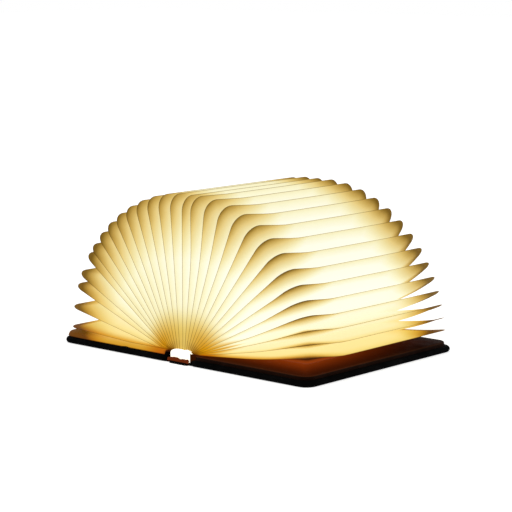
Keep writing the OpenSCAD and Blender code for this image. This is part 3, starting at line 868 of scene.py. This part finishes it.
def buildGutter(side):
    word = "right" if side > 0 else "left"
    cap = word.title()
    low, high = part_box(word + "_hinge_skin")
    x0, x1 = sorted((abs(low[0]), abs(high[0])))
    thick = high[2]

    def skinLine(t, _):
        ridge = gutter["ridge"] * math.sin(t * math.pi * 5) * math.sin(t * math.pi)
        return x0 + (x1 - x0) * t, thick + abs(ridge)

    skin = stripPiece("hingeSkin" + cap, "black_leatherette", skinLine, high[1], thick, side)
    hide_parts(word + "_hinge_skin")
    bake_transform(skin)
    low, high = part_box(word + "_inner_lining")
    halfEnd = high[1]
    ix0, ix1 = sorted((abs(low[0]), abs(high[0])))

    def liningLine(t, y):
        end = smoothStep(1 - (halfEnd - abs(y)) / gutter["endRun"])
        fold = noise.noise(Vector((t * 3.0, y * gutter["foldScale"], side * 5.0)))
        amount = (gutter["wrinkle"] + gutter["endWrinkle"] * end) * math.sin(math.pi * t)
        step = gutter["endStep"] * float(smoothStep(1 - (halfEnd + y) / gutter["stepRun"]))
        level = gutter["innerLevel"] + (gutter["outerLevel"] - gutter["innerLevel"]) * t
        return ix0 + step + (ix1 - ix0 - step) * t, level + float(amount) * fold

    inner = stripPiece("innerLining" + cap, "brown_lining", liningLine, high[1],
                       gutter["skin"], side,
                       lambda y: gutter["glow"] * warmthAt(y, halfEnd - abs(y)))
    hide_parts(word + "_inner_lining")
    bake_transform(inner)


for side in (1, -1):
    buildGutter(side)
print("gutters ready")

# light bar cover: a milky arch with softened ends

bar = {"top": 0.0111, "shoulder": 0.0079, "endRound": 0.0008, "arcSteps": 22, "runs": 60,
       "port": (0.00395, 0.0014), "portZ": 0.0056, "portDeep": 0.004,
       "capOut": 0.003, "capX": 0.012, "capTop": 0.0133, "capFloor": 0.0026,
       "wallStart": 0.0002, "wallRun": 0.0006, "wallFrom": 0.9, "wallFade": 0.08,
       "capSteps": [(0.0016, 0.9), (0.0028, 0.6)], "neckStart": 0.0001, "neckEnd": 0.0004}


def barOutline(halfX, floor):                     # half an ellipse over short upright sides
    rise = bar["top"] - bar["shoulder"]
    outline = [(-halfX, floor), (-halfX, (floor + bar["shoulder"]) / 2)]
    outline += [(halfX * math.sin(a), bar["shoulder"] + rise * math.cos(a))
                for a in np.linspace(-math.pi / 2, math.pi / 2, bar["arcSteps"])]
    outline += [(halfX, (floor + bar["shoulder"]) / 2), (halfX, floor)]
    share = bar["port"][0] / bar["port"][1] * (bar["portZ"] - floor)
    return outline + [(x, floor) for x in (share, share / 2, 0.0, -share / 2, -share)]


def buildDiffuser():
    low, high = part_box("diffuser")
    halfX, halfY, floor = high[0], high[1], low[2]
    ends = [(bar["endRound"] * (1 - math.cos(a)), bar["endRound"] * (1 - math.sin(a)))
            for a in np.linspace(0, math.pi / 2, 6)]
    front = -halfY - bar["capOut"]                # the near end widens to a cap before the pages
    run = [(front + along, inset, 1.0) for along, inset in ends]
    run += [(front + along, 0.0, share) for along, share in bar["capSteps"]]
    run += [(bar["neckStart"] - halfY, 0.0, 0.3), (bar["neckEnd"] - halfY, 0.0, 0.0)]
    run += [(y, 0.0, 0.0) for y in np.linspace(run[-1][0], halfY - bar["endRound"],
                                               bar["runs"] + 1)[1:-1]]
    run += [(halfY - along, inset, 0.0) for along, inset in ends[::-1]]
    outline = barOutline(halfX, floor)
    points, walls = [], []
    for y, inset, capped in run:
        wide = (halfX + (bar["capX"] - halfX) * capped - inset) / halfX
        foot = floor + (bar["capFloor"] - floor) * capped
        tall = (bar["top"] + (bar["capTop"] - bar["top"]) * capped - foot - inset) / (
            bar["top"] - floor)
        points += [(x * wide, y, foot + (z - floor) * tall) for x, z in outline]
        back = float(smoothStep((y - front - bar["wallStart"]) / bar["wallRun"]))
        walls += [back * float(smoothStep((abs(x) / halfX - bar["wallFrom"]) / bar["wallFade"]))
                  for x, _ in outline]
    columns = len(outline)
    faces = []
    for row in range(len(run) - 1):
        for column in range(columns):
            a, b = row * columns + column, row * columns + (column + 1) % columns
            faces.append((a, b, b + columns, a + columns))
    faces.append(tuple(range(columns - 1, -1, -1)))
    start = len(points) - columns                 # far end: a port opening with walls behind it
    for deep in (0.0, bar["portDeep"]):
        for x, z in outline:
            dx, dz = x, z - bar["portZ"]
            k = min(bar["port"][0] / max(abs(dx), 1e-9), bar["port"][1] / max(abs(dz), 1e-9))
            points.append((dx * k, halfY - deep, bar["portZ"] + dz * k))
            walls.append(0.0)
    for ring in (0, 1):
        base = start + ring * columns
        for column in range(columns):
            a, b = base + column, base + (column + 1) % columns
            faces.append((a, b, b + columns, a + columns))
    piece = newPiece("lightBarDome", points, faces, "milky_diffuser", {"wallShade": walls})
    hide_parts("diffuser")
    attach(piece, "root")


buildDiffuser()

# lining tucked over the near end of the bar

tuck = {"halfX": 0.013, "near": 0.0059, "back": 0.0045, "low": 0.0024, "high": 0.0052,
        "thick": 0.0006, "fold": 0.0009, "columns": 44, "rows": 10, "worn": 0.1, "glow": 0.45}


def buildTuck():
    end = -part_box("diffuser")[1][1]
    columns, rows = tuck["columns"], tuck["rows"]
    points = []
    for layer in (0, 1):
        for row in range(rows + 1):
            t = row / rows
            for column in range(columns + 1):
                u = 2 * column / columns - 1
                fold = noise.noise(Vector((u * 3.1, 0.4, 7.0))) + 0.4 * noise.noise(
                    Vector((u * 8.0, t * 2.0, 2.0)))
                top = tuck["high"] + tuck["fold"] * fold * 1.6
                z = tuck["low"] + (top - tuck["low"]) * float(smoothStep(t * 1.15))
                y = end - tuck["near"] + (tuck["near"] - tuck["back"]) * t ** 1.6
                y += tuck["fold"] * 0.5 * fold * math.sin(math.pi * t)
                points.append((tuck["halfX"] * u, y + layer * tuck["thick"] * 0.7,
                               z - layer * tuck["thick"] * 0.7))
    faces = sheetFaces(rows, columns, False, False)
    count = len(points)
    # painted highlight: the whole tuck is mixed a little towards the lighter brown of the pad's edge
    piece = newPiece("liningTuck", points, faces, "brown_lining",
                     {"edgeWear": [tuck["worn"]] * count, "warmth": [tuck["glow"]] * count})
    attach(piece, "root")


buildTuck()
print("light bar ready")

# floor, light and background

studio = {"floorColour": (0.9, 0.9, 0.9), "floorLift": 0.6, "floorSize": 8.0,
          "floorRough": 0.9, "floorGloss": 0.1, "worldLevel": 0.55, "lampSize": 1.4,
          "lampAim": (0, 0, 0.07),
          "lamps": [((-1.2, -1.5, 1.6), 9.0), ((1.7, -0.9, 1.3), 5.0), ((0.2, 1.6, 1.5), 4.0)]}


def backgroundRays(tree):                         # 1 where the camera, a gloss or glass sees it
    rays = addNode(tree, "ShaderNodeLightPath").outputs
    return math2(tree, "MAXIMUM", rays["Is Camera Ray"],
                 math2(tree, "MAXIMUM", rays["Is Glossy Ray"], rays["Is Transmission Ray"]))


def buildStudio():
    size = studio["floorSize"]
    floor = bpy.data.meshes.new("studioFloor")
    floor.from_pydata([(-size, -size, 0), (size, -size, 0), (size, size, 0), (-size, size, 0)],
                      [], [(0, 1, 2, 3)])
    material, tree, shader = newMaterial("studioFloor")
    seen = backgroundRays(tree)
    lift = mixColour(tree, seen, (0, 0, 0), (studio["floorLift"],) * 3)
    wire(tree, shader, glow=lift)
    shader.inputs["Emission Strength"].default_value = 1.0
    shader.inputs["Base Color"].default_value = (*studio["floorColour"], 1)
    shader.inputs["Roughness"].default_value = studio["floorRough"]
    shader.inputs["Specular IOR Level"].default_value = studio["floorGloss"]
    floor.materials.append(material)
    ground = bpy.data.objects.new("studioFloor", floor)
    bpy.context.scene.collection.objects.link(ground)
    world = bpy.data.worlds.new("studioWorld")
    bpy.context.scene.world = world
    world.use_nodes = True
    tree = world.node_tree
    back = tree.nodes["Background"]
    seen = backgroundRays(tree)
    level = rangeOf(tree, seen, 0.0, 1.0, studio["worldLevel"], 1.0, smooth=False)
    back.inputs["Color"].default_value = (1, 1, 1, 1)
    tree.links.new(level, back.inputs["Strength"])
    for index, (place, power) in enumerate(studio["lamps"]):
        data = bpy.data.lights.new("softLamp%d" % index, "AREA")
        data.size = studio["lampSize"]
        data.energy = power
        lamp = bpy.data.objects.new("softLamp%d" % index, data)
        bpy.context.scene.collection.objects.link(lamp)
        lamp.location = place
        lamp.rotation_euler = (Vector(studio["lampAim"]) - Vector(place)).to_track_quat(
            "-Z", "Y").to_euler()


buildStudio()
print("studio ready")

bpy.context.view_layer.update()
